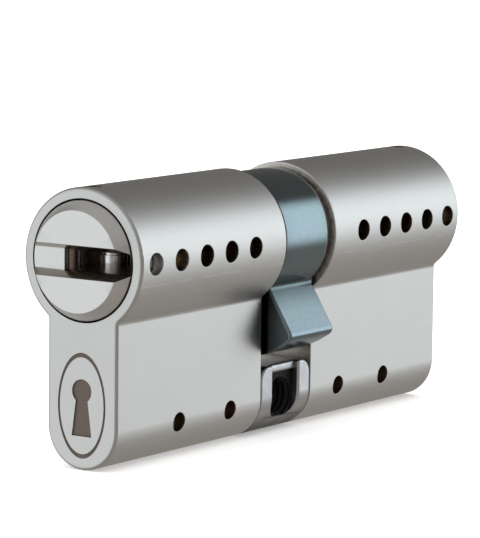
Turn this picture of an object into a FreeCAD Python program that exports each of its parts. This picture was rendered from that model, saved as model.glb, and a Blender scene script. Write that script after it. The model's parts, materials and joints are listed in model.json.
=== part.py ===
import FreeCAD
import Part
import math
import os

from FreeCAD import Vector

# Euro-profile double key cylinder, modular kind: two brass halves joined by a steel bridge.
#
# Axes: Y runs along the barrel, the outer half lies towards -Y and the inner half towards +Y.
# Z points up from the flag to the barrel, and X runs across the flag.
# The pieces are modelled about the barrel's axis. lift() then moves them up by SCREW_DROP,
# so that the finished part's origin is the middle of the fixing screw's hole.

# Body profile, millimetres
BARREL_R = 8.5
FLAG_WIDTH = 10.0
SCREW_DROP = 20.0
FLAG_BELOW_SCREW = 4.5
FLAG_FILLET = 0.8
FACE_CHAMFER = 0.35
HALF_LENGTH = 35.0
CAM_GAP = 10.9

# Plug
RUNNING_GAP = 0.05
HEAD_WALL = 1.25
HEAD_GAP = 0.1
HEAD_STEP = 0.65
HEAD_DEPTH = 3.95
NOSE_HEIGHT = 1.5
NOSE_TAPER = 1.05
PLUG_INNER_END = 1.5

# Keyway, across the plug, and the flared slot in the nose
KEYWAY_HALF_HEIGHT = 1.25
KEYWAY_LEFT = -2.6
KEYWAY_RIGHT = 4.6
KEYWAY_HEAD_RIGHT = 6.6
NOSE_SLOT_HALF_HEIGHT = 1.9

# Pin stacks, below the plug
PIN_R = 1.65
PIN_PITCH = 5.05
FIRST_PIN_SETBACK = 6.0
PIN_DROPS = [1.4, 2.4, 1.8, 2.2, 1.6]
PIN_TOP_GAP = 0.1
PIN_TOP_CHAMFER = 0.3
PIN_FOOT_CHAMFER = 0.75
PIN_RING_DEPTH = 0.6
PIN_RING_WIDTH = 0.2
PIN_RING_CUT = 0.13
SHEAR_GAP = 0.12
CORE_R = 0.9
CORE_LENGTH = 2.9
CORE_TRAVEL = 0.6
CORE_CHAMFER = 0.25
DRIVER_LENGTH = 4.0
DRIVER_WAIST_R = 1.2
DRIVER_LAND = 0.9
DRIVER_CHAMFER = 0.35
SPRING_WIRE_R = 0.22
SPRING_TURNS = 7
SPRING_SEAT_GAP = 0.03

# Side pins and the holes drilled through the barrel's side
SIDE_HOLE_R = 1.3
SIDE_HOLE_SETBACK = 2.85
SIDE_CHAMBER_FLOOR = 5.3
SIDE_PIN_HEAD = 0.5
SIDE_PIN_NOSE_R = 0.7
SIDE_PIN_REACH = 0.5

# Hardened pieces against drilling
ROD_R = 1.25
ROD_X = -3.3
ROD_SETBACK = 2.0
ROD_HALF_LENGTH = 5.1
HEAD_PIN_R = 0.94
HEAD_PIN_RECESS = 0.55
PRESS_GAP = 0.01

# Circlip, coupler and cam
GROOVE_WIDTH = 0.75
GROOVE_DEPTH = 0.6
CIRCLIP_PLAY = 0.02
CIRCLIP_PROUD = 0.7
CIRCLIP_OPENING = 70.0
COUPLER_R = 3.2
COUPLER_TAB_HALF = 1.3
COUPLER_TAB_REACH = 5.2
COUPLER_LENGTH = 4.95
COUPLER_POCKET = 5.1
WEB_HALF = 1.4
CAM_RING_STEP = 0.6
CAM_BORE_GAP = 0.1
CAM_CLIP_GAP = 0.2
RING_END_GAP = 0.7
RING_CHAMFER = 0.4
CLIP_BORE_DEPTH = 0.25
LEVER_END_GAP = 0.55
LEVER_ANGLE = -67.0
LEVER_TIP_R = 14.9
LEVER_TIP_HALF = 3.75
LEVER_LEAN = 8.6
LEVER_FILLET = 0.7
LEVER_ROUND = 0.55

# Bridge, its bar, the screw insert and the cross pins
BRIDGE_END_GAP = 0.05
BRIDGE_TOP = 4.3
BRIDGE_CORNER = 1.8
BRIDGE_LIP = 0.7
WINDOW_HALF = 2.8
WINDOW_BELOW_SCREW = 2.8
WINDOW_CORNER = 1.1
WINDOW_DEPTH = 1.0
INSERT_GAP = 0.05
SCREW_CORE_R = 2.1
BAR_HALF_WIDTH = 2.2
BAR_ABOVE_SCREW = 2.6
BAR_BELOW_SCREW = 2.2
BAR_SETBACK = 8.0
BAR_GAP = 0.05
CROSS_PIN_R = 1.15
CROSS_PIN_NEAR = 11.95
CROSS_PIN_SPACING = 10.55
CROSS_PIN_RECESS = 1.2

OVERCUT = 1.0

# Values worked out from the ones above
GAP_HALF = CAM_GAP / 2.0
FLAG_HALF = FLAG_WIDTH / 2.0
FLAG_BOTTOM = -(SCREW_DROP + FLAG_BELOW_SCREW)
HEAD_BORE_R = BARREL_R - HEAD_WALL
HEAD_R = HEAD_BORE_R - HEAD_GAP
PLUG_R = HEAD_R - HEAD_STEP
BORE_R = PLUG_R + RUNNING_GAP
HEAD_SHOULDER = HALF_LENGTH - HEAD_DEPTH
CHAMBER_R = PIN_R + RUNNING_GAP
PIN_PLACES = [HALF_LENGTH - FIRST_PIN_SETBACK - PIN_PITCH * n for n in range(len(PIN_DROPS))]
SIDE_PLACES = [HALF_LENGTH - SIDE_HOLE_SETBACK - PIN_PITCH * n for n in range(len(PIN_DROPS))]
CROSS_PLACES = [CROSS_PIN_NEAR, CROSS_PIN_NEAR + CROSS_PIN_SPACING]
PIN_TOP = KEYWAY_HALF_HEIGHT - PIN_TOP_GAP
DRIVER_TOP = -(BORE_R + SHEAR_GAP)
COUPLER_SEAT = PLUG_INNER_END + COUPLER_POCKET
BAR_TOP = -SCREW_DROP + BAR_ABOVE_SCREW
BAR_BOTTOM = -SCREW_DROP - BAR_BELOW_SCREW
BAR_END = HALF_LENGTH - BAR_SETBACK
BRIDGE_TOP_Z = -SCREW_DROP + BRIDGE_TOP
WINDOW_TOP = BRIDGE_TOP_Z - BRIDGE_LIP
WINDOW_BOTTOM = -SCREW_DROP - WINDOW_BELOW_SCREW
INSERT_HALF_LENGTH = FLAG_HALF - WINDOW_DEPTH
CLIP_GROOVE_END = GAP_HALF - RUNNING_GAP
RING_HALF_WIDTH = GAP_HALF - RING_END_GAP
LEVER_HALF_WIDTH = GAP_HALF - LEVER_END_GAP
CLIP_BORE_FLOOR = RING_HALF_WIDTH - CLIP_BORE_DEPTH


def round_x(radius, x0, x1, y, z):
    """Round bar along X."""
    return Part.makeCylinder(radius, x1 - x0, Vector(x0, y, z), Vector(1, 0, 0))


def round_y(radius, y0, y1, x=0.0, z=0.0):
    """Round bar along Y."""
    return Part.makeCylinder(radius, y1 - y0, Vector(x, y0, z), Vector(0, 1, 0))


def round_z(radius, z0, z1, x, y):
    """Round bar along Z."""
    return Part.makeCylinder(radius, z1 - z0, Vector(x, y, z0), Vector(0, 0, 1))


def block(x0, x1, y0, y1, z0, z1):
    """Straight-sided block between two corners."""
    return Part.makeBox(x1 - x0, y1 - y0, z1 - z0, Vector(x0, y0, z0))


def turned_pin(points, y):
    """Solid turned about a vertical line at x = 0 and this y, from (radius, z) points."""
    corners = [Vector(radius, y, z) for radius, z in points]
    outline = Part.Face(Part.makePolygon(corners + corners[:1]))
    return outline.revolve(Vector(0, y, 0), Vector(0, 0, 1), 360)


def mirrored(shape):
    """The inner half's copy of an outer piece."""
    return shape.mirror(Vector(0, 0, 0), Vector(0, 1, 0))


def profile_wire(y, inset):
    """Outline of the euro profile at one y, drawn in by inset all round."""
    barrel = BARREL_R - inset
    half = FLAG_HALF - inset
    centre_x = FLAG_HALF + FLAG_FILLET
    centre_z = -math.sqrt((BARREL_R + FLAG_FILLET) ** 2 - centre_x ** 2)
    fillet = FLAG_FILLET + inset
    reach = math.hypot(centre_x, centre_z)
    foot_z = FLAG_BOTTOM + FLAG_HALF

    on_barrel = Vector(centre_x * barrel / reach, y, centre_z * barrel / reach)
    on_flag = Vector(half, y, centre_z)
    foot = Vector(half, y, foot_z)
    centre = Vector(centre_x, y, centre_z)
    bisector = on_barrel.sub(centre).normalize().add(Vector(-1, 0, 0)).normalize()
    middle = centre.add(bisector.multiply(fillet))

    def other_side(point):
        return Vector(-point.x, point.y, point.z)

    top = Vector(0, y, barrel)
    bottom = Vector(0, y, foot_z - half)
    edges = [
        Part.Arc(other_side(on_barrel), top, on_barrel).toShape(),
        Part.Arc(on_barrel, middle, on_flag).toShape(),
        Part.LineSegment(on_flag, foot).toShape(),
        Part.Arc(foot, bottom, other_side(foot)).toShape(),
        Part.LineSegment(other_side(foot), other_side(on_flag)).toShape(),
        Part.Arc(other_side(on_flag), other_side(middle), other_side(on_barrel)).toShape(),
    ]
    return Part.Wire(edges)


def body_half():
    """Outer half of the housing: barrel and flag in one, with every bore and pocket."""
    sections = [
        profile_wire(-HALF_LENGTH, FACE_CHAMFER),
        profile_wire(-HALF_LENGTH + FACE_CHAMFER, 0.0),
        profile_wire(-GAP_HALF, 0.0),
    ]
    body = Part.makeLoft(sections, True, True)
    outside = BARREL_R + OVERCUT
    cuts = [
        round_y(HEAD_BORE_R, -HALF_LENGTH - OVERCUT, -HEAD_SHOULDER + RUNNING_GAP),
        round_y(BORE_R, -HALF_LENGTH, -GAP_HALF + OVERCUT),
        block(
            -BAR_HALF_WIDTH - BAR_GAP, BAR_HALF_WIDTH + BAR_GAP,
            -BAR_END - BAR_GAP, -GAP_HALF + OVERCUT,
            BAR_BOTTOM - BAR_GAP, BAR_TOP + BAR_GAP,
        ),
        round_z(HEAD_PIN_R + PRESS_GAP, 0.0, outside, 0.0, -HALF_LENGTH + ROD_SETBACK),
    ]
    for place in SIDE_PLACES:
        cuts.append(round_x(SIDE_HOLE_R, 0.0, outside, -place, 0.0))
    for place in PIN_PLACES:
        cuts.append(round_z(CHAMBER_R, BAR_TOP, 0.0, 0.0, -place))
    for place in CROSS_PLACES:
        cuts.append(round_x(CROSS_PIN_R + PRESS_GAP, -outside, outside, -place, -SCREW_DROP))
    return body.cut(cuts)


def nose_slot():
    """Slot across the whole nose, flared towards its mouth."""
    face_y = -HALF_LENGTH
    mouth_y = face_y - NOSE_HEIGHT - OVERCUT
    flare = (NOSE_SLOT_HALF_HEIGHT - KEYWAY_HALF_HEIGHT) / NOSE_HEIGHT
    mouth_half = KEYWAY_HALF_HEIGHT + flare * (NOSE_HEIGHT + OVERCUT)
    start = -HEAD_R - OVERCUT
    corners = [
        Vector(start, mouth_y, -mouth_half),
        Vector(start, face_y, -KEYWAY_HALF_HEIGHT),
        Vector(start, face_y, KEYWAY_HALF_HEIGHT),
        Vector(start, mouth_y, mouth_half),
    ]
    outline = Part.Face(Part.makePolygon(corners + corners[:1]))
    return outline.extrude(Vector(-2.0 * start, 0, 0))


def coupler_slot(y0, y1):
    """Keyed hole that a coupler slides through: a bore with an upright slot across it."""
    tab = COUPLER_TAB_HALF + RUNNING_GAP
    reach = COUPLER_TAB_REACH + RUNNING_GAP
    bore = round_y(COUPLER_R + RUNNING_GAP, y0, y1)
    return bore.fuse(block(-tab, tab, y0, y1, -reach, reach))


def plug():
    """Outer plug: head with a bevelled nose, barrel, keyway and pin chambers."""
    head = round_y(HEAD_R, -HALF_LENGTH, -HEAD_SHOULDER)
    nose = Part.makeCone(
        HEAD_R, HEAD_R - NOSE_TAPER, NOSE_HEIGHT, Vector(0, -HALF_LENGTH, 0), Vector(0, -1, 0)
    )
    barrel = round_y(PLUG_R, -HEAD_SHOULDER, -PLUG_INNER_END)
    solid = head.fuse([nose, barrel])

    half = KEYWAY_HALF_HEIGHT
    groove_start = -CLIP_GROOVE_END
    groove_end = groove_start + GROOVE_WIDTH
    groove = round_y(PLUG_R + OVERCUT, groove_start, groove_end).cut(
        round_y(PLUG_R - GROOVE_DEPTH, groove_start, groove_end)
    )
    rod_y = -HALF_LENGTH + ROD_SETBACK
    cuts = [
        nose_slot(),
        block(KEYWAY_LEFT, KEYWAY_HEAD_RIGHT, -HALF_LENGTH - OVERCUT, -HEAD_SHOULDER, -half, half),
        block(KEYWAY_LEFT, KEYWAY_RIGHT, -HEAD_SHOULDER, -COUPLER_SEAT + OVERCUT, -half, half),
        groove,
        coupler_slot(-COUPLER_SEAT, -PLUG_INNER_END + OVERCUT),
        round_z(ROD_R + PRESS_GAP, -HEAD_R, HEAD_R, ROD_X, rod_y),
    ]
    for place in PIN_PLACES:
        cuts.append(round_z(CHAMBER_R, -PLUG_R - OVERCUT, 0.0, 0.0, -place))
    for place in SIDE_PLACES[1:]:
        cuts.append(round_x(SIDE_HOLE_R, SIDE_CHAMBER_FLOOR, PLUG_R + OVERCUT, -place, 0.0))
        cuts.append(round_x(SIDE_PIN_NOSE_R + RUNNING_GAP, 0.0, PLUG_R, -place, 0.0))
    return solid.cut(cuts)


def circlip():
    """Open ring in the plug's groove, which keeps the plug from being drawn out."""
    start = -CLIP_GROOVE_END + CIRCLIP_PLAY
    end = -CLIP_GROOVE_END + GROOVE_WIDTH - CIRCLIP_PLAY
    ring = round_y(PLUG_R + CIRCLIP_PROUD, start, end).cut(
        round_y(PLUG_R - GROOVE_DEPTH + CIRCLIP_PLAY, start, end)
    )
    reach = 2.0 * PLUG_R
    spread = math.radians(CIRCLIP_OPENING / 2.0)
    corners = [
        Vector(0, start, 0),
        Vector(-reach * math.sin(spread), start, reach * math.cos(spread)),
        Vector(reach * math.sin(spread), start, reach * math.cos(spread)),
    ]
    opening = Part.Face(Part.makePolygon(corners + corners[:1]))
    return ring.cut(opening.extrude(Vector(0, end - start, 0)))


def coupler(start):
    """Sliding clutch that keys a plug to the cam: a round slug with two upright tabs."""
    end = start + COUPLER_LENGTH
    slug = round_y(COUPLER_R, start, end)
    tab = COUPLER_TAB_HALF
    reach = COUPLER_TAB_REACH
    return slug.fuse(block(-tab, tab, start, end, -reach, reach))


def head_pin():
    """Hardened slug in the top of the barrel, over the plug's head."""
    return round_z(
        HEAD_PIN_R, HEAD_BORE_R + RUNNING_GAP, BARREL_R - HEAD_PIN_RECESS,
        0.0, -HALF_LENGTH + ROD_SETBACK,
    )


def anti_drill_rod():
    """Hardened rod across the plug's head, partly bared at the keyway's wall."""
    return round_z(ROD_R, -ROD_HALF_LENGTH, ROD_HALF_LENGTH, ROD_X, -HALF_LENGTH + ROD_SETBACK)


def side_pins():
    """Small headed pins in the plug's side, whose noses reach into the keyway."""
    head_start = SIDE_CHAMBER_FLOOR + RUNNING_GAP
    head_end = head_start + SIDE_PIN_HEAD
    nose_start = KEYWAY_RIGHT - SIDE_PIN_REACH
    pins = []
    for place in SIDE_PLACES[1:]:
        head = round_x(SIDE_HOLE_R - RUNNING_GAP, head_start, head_end, -place, 0.0)
        nose = round_x(SIDE_PIN_NOSE_R, nose_start, head_start, -place, 0.0)
        pins.append(head.fuse(nose))
    return Part.makeCompound(pins)


def key_pin(place, drop):
    """Hollow key pin. Its length is what brings its foot to the shear line when it drops."""
    top = PIN_TOP
    foot = drop - PLUG_R + SHEAR_GAP
    ring_top = top - PIN_RING_DEPTH
    ring_bottom = ring_top - PIN_RING_WIDTH
    cut_r = PIN_R - PIN_RING_CUT
    bore_r = CORE_R + RUNNING_GAP
    bore_floor = top - CORE_LENGTH - CORE_TRAVEL - PIN_TOP_GAP
    points = [
        (bore_r, top),
        (PIN_R - PIN_TOP_CHAMFER, top),
        (PIN_R, top - PIN_TOP_CHAMFER),
        (PIN_R, ring_top),
        (cut_r, ring_top - PIN_RING_CUT / 2.0),
        (cut_r, ring_bottom),
        (PIN_R, ring_bottom - PIN_RING_CUT / 2.0),
        (PIN_R, foot + PIN_FOOT_CHAMFER),
        (PIN_R - PIN_FOOT_CHAMFER, foot),
        (0.0, foot),
        (0.0, bore_floor),
        (bore_r, bore_floor),
    ]
    return turned_pin(points, -place)


def key_pin_core(place):
    """Inner pin of a telescopic key pin."""
    top = PIN_TOP - RUNNING_GAP
    bottom = top - CORE_LENGTH
    points = [
        (0.0, top),
        (CORE_R - CORE_CHAMFER, top),
        (CORE_R, top - CORE_CHAMFER),
        (CORE_R, bottom),
        (0.0, bottom),
    ]
    return turned_pin(points, -place)


def driver_pin(place):
    """Spool-shaped driver pin in the housing, its top just under the plug."""
    top = DRIVER_TOP
    foot = top - DRIVER_LENGTH
    step = PIN_R - DRIVER_WAIST_R
    points = [
        (0.0, top),
        (PIN_R - DRIVER_CHAMFER, top),
        (PIN_R, top - DRIVER_CHAMFER),
        (PIN_R, top - DRIVER_LAND),
        (DRIVER_WAIST_R, top - DRIVER_LAND - step),
        (DRIVER_WAIST_R, foot + DRIVER_LAND + step),
        (PIN_R, foot + DRIVER_LAND),
        (PIN_R, foot + DRIVER_CHAMFER),
        (PIN_R - DRIVER_CHAMFER, foot),
        (0.0, foot),
    ]
    return turned_pin(points, -place)


def driver_springs():
    """One coil spring under each driver pin, standing on the bridge's bar."""
    top = DRIVER_TOP - DRIVER_LENGTH - SPRING_SEAT_GAP - SPRING_WIRE_R
    bottom = BAR_TOP + SPRING_SEAT_GAP + SPRING_WIRE_R
    coil_r = PIN_R - SPRING_WIRE_R - RUNNING_GAP
    height = top - bottom
    helix = Part.makeHelix(height / SPRING_TURNS, height, coil_r)
    wire = Part.Wire(helix.Edges)
    section = Part.Wire(Part.Circle(Vector(coil_r, 0, 0), Vector(0, 1, 0), SPRING_WIRE_R).toShape())
    coil = wire.makePipeShell([section], True, True)
    springs = []
    for place in PIN_PLACES:
        spring = coil.copy()
        spring.translate(Vector(0, -place, bottom))
        springs.append(spring)
    return Part.makeCompound(springs)


def cam():
    """Cam: a ring with the coupler's keyed web inside it and the lever that drives the bolt."""
    ring_r = BARREL_R - CAM_RING_STEP
    half = RING_HALF_WIDTH
    straight = half - RING_CHAMFER
    ring = round_y(ring_r, -straight, straight)
    for side in (-1, 1):
        edge = Part.makeCone(
            ring_r, ring_r - RING_CHAMFER, RING_CHAMFER, Vector(0, side * straight, 0), Vector(0, side, 0)
        )
        ring = ring.fuse(edge)
    ring = ring.fuse(cam_lever())

    bore_r = PLUG_R + CAM_BORE_GAP
    clip_r = PLUG_R + CIRCLIP_PROUD + CAM_CLIP_GAP
    cuts = [coupler_slot(-WEB_HALF - OVERCUT, WEB_HALF + OVERCUT)]
    for near, radius in ((WEB_HALF, bore_r), (CLIP_BORE_FLOOR, clip_r)):
        cuts.append(round_y(radius, near, half + OVERCUT))
        cuts.append(round_y(radius, -half - OVERCUT, -near))
    return ring.cut(cuts)


def cam_lever():
    """Lever blade, widening outwards and blended into the ring, turned to its rest angle."""
    ring_r = BARREL_R - CAM_RING_STEP
    lean = math.radians(LEVER_LEAN)
    across = Vector(-math.sin(lean), 0, math.cos(lean))
    along = Vector(math.cos(lean), 0, math.sin(lean))
    start = Vector(0, -LEVER_HALF_WIDTH, 0)
    tip = Vector(math.sqrt(LEVER_TIP_R ** 2 - LEVER_TIP_HALF ** 2), 0, LEVER_TIP_HALF)

    height = across.dot(tip) + LEVER_FILLET
    reach = math.sqrt((ring_r + LEVER_FILLET) ** 2 - height ** 2)
    centre = across * height + along * reach
    on_flat = centre - across * LEVER_FILLET
    on_ring = centre * (ring_r / centre.Length)
    to_corner = (on_flat - centre) + (on_ring - centre)
    middle = centre + to_corner * (LEVER_FILLET / to_corner.Length)
    inner_r = (ring_r + PLUG_R + CAM_BORE_GAP) / 2.0
    inside = on_ring * (inner_r / on_ring.Length)

    def low(point):
        return Vector(point.x, point.y, -point.z)

    edges = [
        Part.Arc(low(tip), Vector(LEVER_TIP_R, 0, 0), tip).toShape(),
        Part.LineSegment(tip, on_flat).toShape(),
        Part.Arc(on_flat, middle, on_ring).toShape(),
        Part.LineSegment(on_ring, inside).toShape(),
        Part.Arc(inside, Vector(inner_r, 0, 0), low(inside)).toShape(),
        Part.LineSegment(low(inside), low(on_ring)).toShape(),
        Part.Arc(low(on_ring), low(middle), low(on_flat)).toShape(),
        Part.LineSegment(low(on_flat), low(tip)).toShape(),
    ]
    blade = Part.Face(Part.Wire(edges)).extrude(Vector(0, 2.0 * LEVER_HALF_WIDTH, 0))
    blade.translate(start)
    corners = [
        edge for edge in blade.Edges
        if edge.BoundBox.YLength > LEVER_HALF_WIDTH and edge.BoundBox.XMin > BARREL_R
    ]
    blade = blade.makeFillet(LEVER_ROUND, corners)
    blade.rotate(Vector(0, 0, 0), Vector(0, 1, 0), -LEVER_ANGLE)
    return blade


def rounded_window(half_width, bottom, top, corner, half_length):
    """Block along X whose four long edges are rounded."""
    window = block(-half_length, half_length, -half_width, half_width, bottom, top)
    long_edges = [edge for edge in window.Edges if edge.BoundBox.XLength > half_length]
    return window.makeFillet(corner, long_edges)


def bridge():
    """Steel bridge: a windowed block under the cam, and a bar that runs into both flags."""
    half = GAP_HALF - BRIDGE_END_GAP
    outline = Part.makeLoft([profile_wire(-half, 0.0), profile_wire(half, 0.0)], True, True)
    space = block(-BARREL_R, BARREL_R, -half, half, FLAG_BOTTOM - OVERCUT, BRIDGE_TOP_Z)
    top_edges = [
        edge for edge in space.Edges
        if edge.BoundBox.XLength > BARREL_R and edge.BoundBox.ZMin > BRIDGE_TOP_Z - OVERCUT
    ]
    core = outline.common(space.makeFillet(BRIDGE_CORNER, top_edges))
    bar = block(-BAR_HALF_WIDTH, BAR_HALF_WIDTH, -BAR_END, BAR_END, BAR_BOTTOM, BAR_TOP)
    window = rounded_window(
        WINDOW_HALF, WINDOW_BOTTOM, WINDOW_TOP, WINDOW_CORNER, FLAG_HALF + OVERCUT
    )
    solid = core.fuse(bar).cut(window)
    for side in (-1, 1):
        ends = sorted((side * INSERT_HALF_LENGTH, side * (FLAG_HALF + OVERCUT)))
        notch = block(
            ends[0], ends[1], -WINDOW_HALF, WINDOW_HALF,
            WINDOW_TOP - WINDOW_CORNER, BRIDGE_TOP_Z + OVERCUT,
        )
        solid = solid.cut(notch)
    for place in CROSS_PLACES:
        for side in (-1, 1):
            hole = round_x(
                CROSS_PIN_R + PRESS_GAP, -FLAG_HALF, FLAG_HALF, side * place, -SCREW_DROP
            )
            solid = solid.cut(hole)
    return solid


def screw_insert():
    """Steel insert in the bridge's window, with the fixing screw's threaded hole."""
    insert = rounded_window(
        WINDOW_HALF - INSERT_GAP, WINDOW_BOTTOM + INSERT_GAP, WINDOW_TOP - INSERT_GAP,
        WINDOW_CORNER - INSERT_GAP, INSERT_HALF_LENGTH,
    )
    return insert.cut(round_x(SCREW_CORE_R, -FLAG_HALF, FLAG_HALF, 0.0, -SCREW_DROP))


def cross_pins():
    """Four steel pins that hold the bar in the flags."""
    half = FLAG_HALF - CROSS_PIN_RECESS
    pins = []
    for place in CROSS_PLACES:
        for side in (-1, 1):
            pins.append(round_x(CROSS_PIN_R, -half, half, side * place, -SCREW_DROP))
    return Part.makeCompound(pins)


def lift(shape):
    """Move a piece from the barrel-axis frame to the part's own frame."""
    moved = shape.copy()
    moved.translate(Vector(0, 0, SCREW_DROP))
    return moved


def half_pieces():
    """Every piece of the outer half but its coupler, by name."""
    pieces = {
        "body": body_half(),
        "plug": plug(),
        "circlip": circlip(),
        "head_pin": head_pin(),
        "anti_drill_rod": anti_drill_rod(),
        "side_pins": side_pins(),
        "driver_springs": driver_springs(),
    }
    for number, (place, drop) in enumerate(zip(PIN_PLACES, PIN_DROPS), start=1):
        pieces["key_pin_%d" % number] = key_pin(place, drop)
        pieces["key_pin_core_%d" % number] = key_pin_core(place)
        pieces["driver_pin_%d" % number] = driver_pin(place)
    return pieces


def main():
    """Write one STEP file for each piece."""
    os.makedirs("parts", exist_ok=True)
    web_face = WEB_HALF - RUNNING_GAP
    pieces = {
        "cam": cam(),
        "bridge": bridge(),
        "screw_insert": screw_insert(),
        "cross_pins": cross_pins(),
        "outer_coupler": coupler(web_face - COUPLER_LENGTH),
        "inner_coupler": coupler(WEB_HALF + RUNNING_GAP),
    }
    for name, shape in half_pieces().items():
        pieces["outer_" + name] = shape
        pieces["inner_" + name] = mirrored(shape)
    for name, shape in pieces.items():
        lift(shape).exportStep("parts/%s.step" % name)


main()
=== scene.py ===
"""Detailed meshes, finishes, stage and camera for a euro-profile double key cylinder."""

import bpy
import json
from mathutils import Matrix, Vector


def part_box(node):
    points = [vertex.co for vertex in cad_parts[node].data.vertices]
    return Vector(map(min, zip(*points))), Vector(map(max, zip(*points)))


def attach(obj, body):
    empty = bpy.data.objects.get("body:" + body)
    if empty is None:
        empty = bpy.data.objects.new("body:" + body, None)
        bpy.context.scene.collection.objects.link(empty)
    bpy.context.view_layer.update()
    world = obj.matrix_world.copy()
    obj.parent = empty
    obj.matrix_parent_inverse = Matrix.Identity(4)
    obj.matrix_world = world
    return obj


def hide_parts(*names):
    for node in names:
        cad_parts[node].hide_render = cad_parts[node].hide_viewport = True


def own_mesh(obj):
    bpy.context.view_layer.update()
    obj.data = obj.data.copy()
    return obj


bl_info = {
    "name": "Door lock cylinder",
    "version": (1, 0, 0),
    "blender": (4, 5, 0),
    "location": "3D View > Sidebar > Lock cylinder",
    "description": "Builds the finished pieces of a euro-profile lock cylinder around its packed frame",
    "category": "Object",
}

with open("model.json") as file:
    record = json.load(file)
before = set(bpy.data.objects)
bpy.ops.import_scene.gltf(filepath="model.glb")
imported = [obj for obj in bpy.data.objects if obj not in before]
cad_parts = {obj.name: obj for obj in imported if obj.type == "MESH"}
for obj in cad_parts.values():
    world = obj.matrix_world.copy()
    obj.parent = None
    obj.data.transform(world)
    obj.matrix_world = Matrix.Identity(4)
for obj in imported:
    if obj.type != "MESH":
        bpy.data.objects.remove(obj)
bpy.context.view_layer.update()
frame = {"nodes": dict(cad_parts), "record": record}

import json
import math

import bmesh
import bpy
from bpy.props import FloatProperty, FloatVectorProperty, IntProperty, PointerProperty
from bpy.types import Operator, Panel, PropertyGroup
from mathutils import Matrix, Vector

MM = 0.001
SIDES = ("outer", "inner")
PIN_NUMBERS = range(1, 6)

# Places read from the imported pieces. The barrel's axis runs along Y at height AXIS_Z.
BODY_LOW, BODY_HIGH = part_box("outer_body")
BRIDGE_LOW, BRIDGE_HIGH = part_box("bridge")
PLUG_LOW, PLUG_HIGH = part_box("outer_plug")
INSERT_LOW, INSERT_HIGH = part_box("screw_insert")
SIDE_PINS_LOW, SIDE_PINS_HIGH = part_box("outer_side_pins")
CROSS_LOW, CROSS_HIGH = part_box("cross_pins")
HEAD_PIN_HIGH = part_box("outer_head_pin")[1]
ROD_LOW, ROD_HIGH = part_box("outer_anti_drill_rod")
CLIP_LOW, CLIP_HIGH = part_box("outer_circlip")
COUPLER_LOW, COUPLER_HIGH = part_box("outer_coupler")

BARREL_R = (BODY_HIGH[0] - BODY_LOW[0]) / 2
AXIS_Z = BODY_HIGH[2] - BARREL_R
AXIS = Vector((0, 0, AXIS_Z))
FACE_Y = BODY_LOW[1]
GAP_Y = BODY_HIGH[1]
FLAG_HALF = BRIDGE_HIGH[0]
FOOT_Z = BODY_LOW[2] + FLAG_HALF
HEAD_R = (PLUG_HIGH[0] - PLUG_LOW[0]) / 2
PIN_BOXES = [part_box(f"outer_key_pin_{number}") for number in PIN_NUMBERS]
PIN_PLACES = [(low[1] + high[1]) / 2 for low, high in PIN_BOXES]
PIN_R = (PIN_BOXES[0][1][0] - PIN_BOXES[0][0][0]) / 2
PITCH = PIN_PLACES[1] - PIN_PLACES[0]
SIDE_PIN_GAP = 0.05 * MM
SIDE_HOLE_R = (SIDE_PINS_HIGH[2] - SIDE_PINS_LOW[2]) / 2 + SIDE_PIN_GAP
# The hole nearest the face has no pin, so the pins' box starts at the second hole.
SIDE_PLACES = [SIDE_PINS_LOW[1] - SIDE_PIN_GAP + SIDE_HOLE_R + PITCH * (n - 1) for n in range(5)]
CROSS_R = (CROSS_HIGH[2] - CROSS_LOW[2]) / 2
CROSS_FAR = CROSS_LOW[1] + CROSS_R
CROSS_NEAR = -11.95 * MM  # the box of the cross pins gives only the one nearest the face
CROSS_Z = (CROSS_LOW[2] + CROSS_HIGH[2]) / 2
ROD_X = (ROD_LOW[0] + ROD_HIGH[0]) / 2
ROD_Y = (ROD_LOW[1] + ROD_HIGH[1]) / 2
ROD_R = (ROD_HIGH[0] - ROD_LOW[0]) / 2

OVERCUT = 1 * MM  # how far a cutter reaches past what it cuts
PRESS_GAP = 0.01 * MM  # gap round pins that are pressed in
NEAR = 0.01 * MM  # how close two places are to count as one
WELD = 0.001 * MM  # how close two corners are to be merged


def length(name, text, value):
    """A size property, in metres."""
    return FloatProperty(
        name=name, description=text, default=value, min=0, precision=6, subtype="DISTANCE", unit="LENGTH",
    )


def colour(name, text, value):
    """A colour property."""
    return FloatVectorProperty(
        name=name, description=text, default=value, size=3, min=0, max=1, subtype="COLOR",
    )


def factor(name, text, value):
    """A property from 0 to 1."""
    return FloatProperty(name=name, description=text, default=value, min=0, max=1, subtype="FACTOR")


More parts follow.
